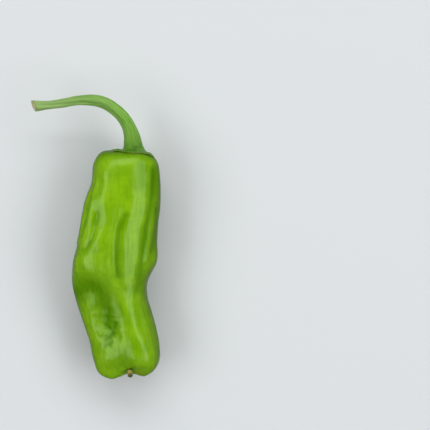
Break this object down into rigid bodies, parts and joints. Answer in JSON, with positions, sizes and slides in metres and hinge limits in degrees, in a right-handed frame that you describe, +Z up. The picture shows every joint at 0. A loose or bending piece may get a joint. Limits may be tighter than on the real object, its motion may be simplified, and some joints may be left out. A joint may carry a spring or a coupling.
{
  "type": "shishito pepper",
  "caption": "Long, crumpled green shishito pepper lying on its belly, with a lobed blossom end and a curved stem that flares into the calyx capping its shoulder.",
  "frame": {"origin": "middle of the small flat spot on the pod's belly that the pepper lies on", "axes": "+Y along the pod towards its stem, +X across it towards its straighter side, +Z up from the surface it lies on"},
  "size_m": [0.0406, 0.0906, 0.0236],
  "materials": {
    "pod_skin": "waxy gloss over bright yellow-green skin",
    "stem_skin": "fibrous satin green",
    "dried_tissue": "dry, rough brown"
  },
  "bodies": {
    "root": {"pod": "pod_skin", "stem_calyx": "stem_skin", "dried_style": "dried_tissue"}
  },
  "joints": []
}
